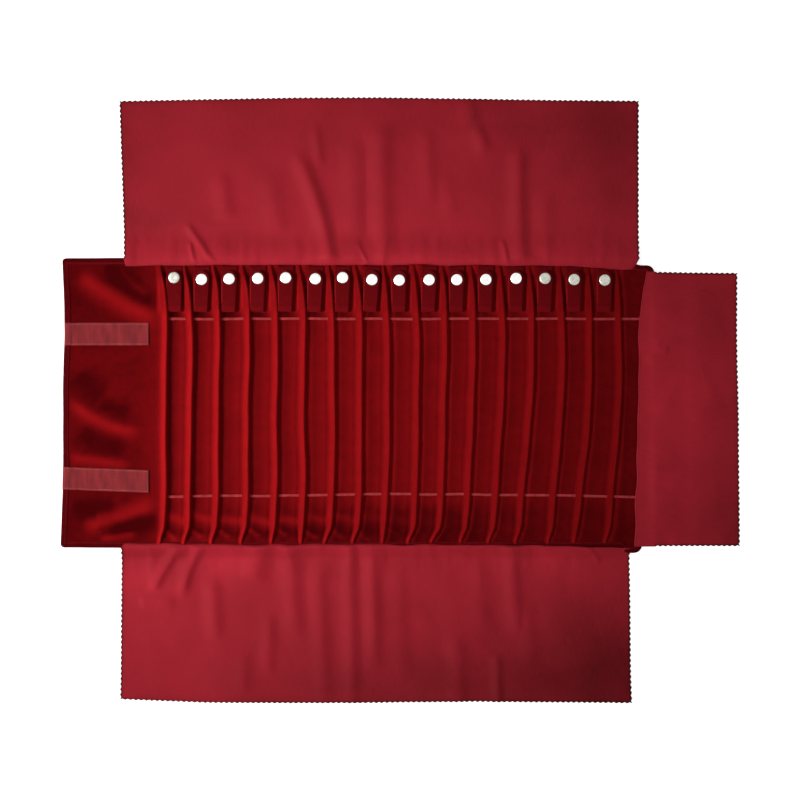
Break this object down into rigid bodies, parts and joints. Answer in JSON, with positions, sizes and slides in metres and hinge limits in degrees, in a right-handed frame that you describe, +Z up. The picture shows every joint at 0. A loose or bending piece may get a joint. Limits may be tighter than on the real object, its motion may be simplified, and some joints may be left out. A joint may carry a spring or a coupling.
{
  "type": "jewelry roll",
  "caption": "Velvet jewelry roll lying open: pleated lanes with snap tabs and elastic bands, a hook-tape closure end, and pinked cloth flaps that fold over the contents.",
  "frame": {"origin": "below the middle of the overall box of the opened roll, on its underside", "axes": "+X along the roll from the closure end to the side flap, +Y towards the top flap, +Z up"},
  "size_m": [0.6022, 0.538, 0.011],
  "materials": {
    "velvet": "dark red cut-pile velvet",
    "flap_cloth": "crimson brushed lining cloth, matt satin",
    "cover_cloth": "dark red velvet outer cover",
    "wadding": "off-white felted interlining",
    "elastic": "ribbed rose elastic",
    "hook_tape": "woven tape with small hooks",
    "loop_tape": "woven tape with soft loops",
    "snap_metal": "nickel plated, polished"
  },
  "bodies": {
    "roll": {"outer_cover": "cover_cloth", "padding": "wadding", "velvet_panel": "velvet", "upper_elastic": "elastic", "lower_elastic": "elastic", "upper_hook_strip": "hook_tape", "lower_hook_strip": "hook_tape", "upper_loop_strip": "loop_tape", "lower_loop_strip": "loop_tape", "tab_01_stud": "snap_metal", "tab_02_stud": "snap_metal", "tab_03_stud": "snap_metal", "tab_04_stud": "snap_metal", "tab_05_stud": "snap_metal", "tab_06_stud": "snap_metal", "tab_07_stud": "snap_metal", "tab_08_stud": "snap_metal", "tab_09_stud": "snap_metal", "tab_10_stud": "snap_metal", "tab_11_stud": "snap_metal", "tab_12_stud": "snap_metal", "tab_13_stud": "snap_metal", "tab_14_stud": "snap_metal", "tab_15_stud": "snap_metal", "tab_16_stud": "snap_metal"},
    "top_flap": {"top_flap": "flap_cloth"},
    "bottom_flap": {"bottom_flap": "flap_cloth"},
    "side_flap": {"side_flap": "flap_cloth"},
    "tab_01": {"tab_01_strap": "velvet", "tab_01_cap": "snap_metal"},
    "tab_02": {"tab_02_strap": "velvet", "tab_02_cap": "snap_metal"},
    "tab_03": {"tab_03_strap": "velvet", "tab_03_cap": "snap_metal"},
    "tab_04": {"tab_04_strap": "velvet", "tab_04_cap": "snap_metal"},
    "tab_05": {"tab_05_strap": "velvet", "tab_05_cap": "snap_metal"},
    "tab_06": {"tab_06_strap": "velvet", "tab_06_cap": "snap_metal"},
    "tab_07": {"tab_07_strap": "velvet", "tab_07_cap": "snap_metal"},
    "tab_08": {"tab_08_strap": "velvet", "tab_08_cap": "snap_metal"},
    "tab_09": {"tab_09_strap": "velvet", "tab_09_cap": "snap_metal"},
    "tab_10": {"tab_10_strap": "velvet", "tab_10_cap": "snap_metal"},
    "tab_11": {"tab_11_strap": "velvet", "tab_11_cap": "snap_metal"},
    "tab_12": {"tab_12_strap": "velvet", "tab_12_cap": "snap_metal"},
    "tab_13": {"tab_13_strap": "velvet", "tab_13_cap": "snap_metal"},
    "tab_14": {"tab_14_strap": "velvet", "tab_14_cap": "snap_metal"},
    "tab_15": {"tab_15_strap": "velvet", "tab_15_cap": "snap_metal"},
    "tab_16": {"tab_16_strap": "velvet", "tab_16_cap": "snap_metal"}
  },
  "joints": [
    {"name": "top_flap_fold", "type": "hinge", "parent": "roll", "child": "top_flap", "pos_m": [-0.01785, 0.1263, 0.00859], "axis": [1, 0, 0], "range_deg": [0, 179]},
    {"name": "bottom_flap_fold", "type": "hinge", "parent": "roll", "child": "bottom_flap", "pos_m": [-0.02175, -0.1317, 0.0078], "axis": [-1, 0, 0], "range_deg": [0, 179]},
    {"name": "side_flap_fold", "type": "hinge", "parent": "roll", "child": "side_flap", "pos_m": [0.22685, -0.0084, 0.0065], "axis": [0, -1, 0], "range_deg": [0, 179]},
    {"name": "tab_01_fold", "type": "hinge", "parent": "roll", "child": "tab_01", "pos_m": [-0.19909, 0.08, 0.0073], "axis": [1, 0, 0], "range_deg": [0, 179]},
    {"name": "tab_02_fold", "type": "hinge", "parent": "roll", "child": "tab_02", "pos_m": [-0.17454, 0.08, 0.0073], "axis": [1, 0, 0], "range_deg": [0, 179]},
    {"name": "tab_03_fold", "type": "hinge", "parent": "roll", "child": "tab_03", "pos_m": [-0.14989, 0.08, 0.0073], "axis": [1, 0, 0], "range_deg": [0, 179]},
    {"name": "tab_04_fold", "type": "hinge", "parent": "roll", "child": "tab_04", "pos_m": [-0.12514, 0.08, 0.0073], "axis": [1, 0, 0], "range_deg": [0, 179]},
    {"name": "tab_05_fold", "type": "hinge", "parent": "roll", "child": "tab_05", "pos_m": [-0.10029, 0.08, 0.0073], "axis": [1, 0, 0], "range_deg": [0, 179]},
    {"name": "tab_06_fold", "type": "hinge", "parent": "roll", "child": "tab_06", "pos_m": [-0.07534, 0.08, 0.0073], "axis": [1, 0, 0], "range_deg": [0, 179]},
    {"name": "tab_07_fold", "type": "hinge", "parent": "roll", "child": "tab_07", "pos_m": [-0.05029, 0.08, 0.0073], "axis": [1, 0, 0], "range_deg": [0, 179]},
    {"name": "tab_08_fold", "type": "hinge", "parent": "roll", "child": "tab_08", "pos_m": [-0.02514, 0.08, 0.0073], "axis": [1, 0, 0], "range_deg": [0, 179]},
    {"name": "tab_09_fold", "type": "hinge", "parent": "roll", "child": "tab_09", "pos_m": [0.00011, 0.08, 0.0073], "axis": [1, 0, 0], "range_deg": [0, 179]},
    {"name": "tab_10_fold", "type": "hinge", "parent": "roll", "child": "tab_10", "pos_m": [0.02546, 0.08, 0.0073], "axis": [1, 0, 0], "range_deg": [0, 179]},
    {"name": "tab_11_fold", "type": "hinge", "parent": "roll", "child": "tab_11", "pos_m": [0.05091, 0.08, 0.0073], "axis": [1, 0, 0], "range_deg": [0, 179]},
    {"name": "tab_12_fold", "type": "hinge", "parent": "roll", "child": "tab_12", "pos_m": [0.07646, 0.08, 0.0073], "axis": [1, 0, 0], "range_deg": [0, 179]},
    {"name": "tab_13_fold", "type": "hinge", "parent": "roll", "child": "tab_13", "pos_m": [0.10211, 0.08, 0.0073], "axis": [1, 0, 0], "range_deg": [0, 179]},
    {"name": "tab_14_fold", "type": "hinge", "parent": "roll", "child": "tab_14", "pos_m": [0.12786, 0.08, 0.0073], "axis": [1, 0, 0], "range_deg": [0, 179]},
    {"name": "tab_15_fold", "type": "hinge", "parent": "roll", "child": "tab_15", "pos_m": [0.15371, 0.08, 0.0073], "axis": [1, 0, 0], "range_deg": [0, 179]},
    {"name": "tab_16_fold", "type": "hinge", "parent": "roll", "child": "tab_16", "pos_m": [0.17966, 0.08, 0.0073], "axis": [1, 0, 0], "range_deg": [0, 179]}
  ]
}
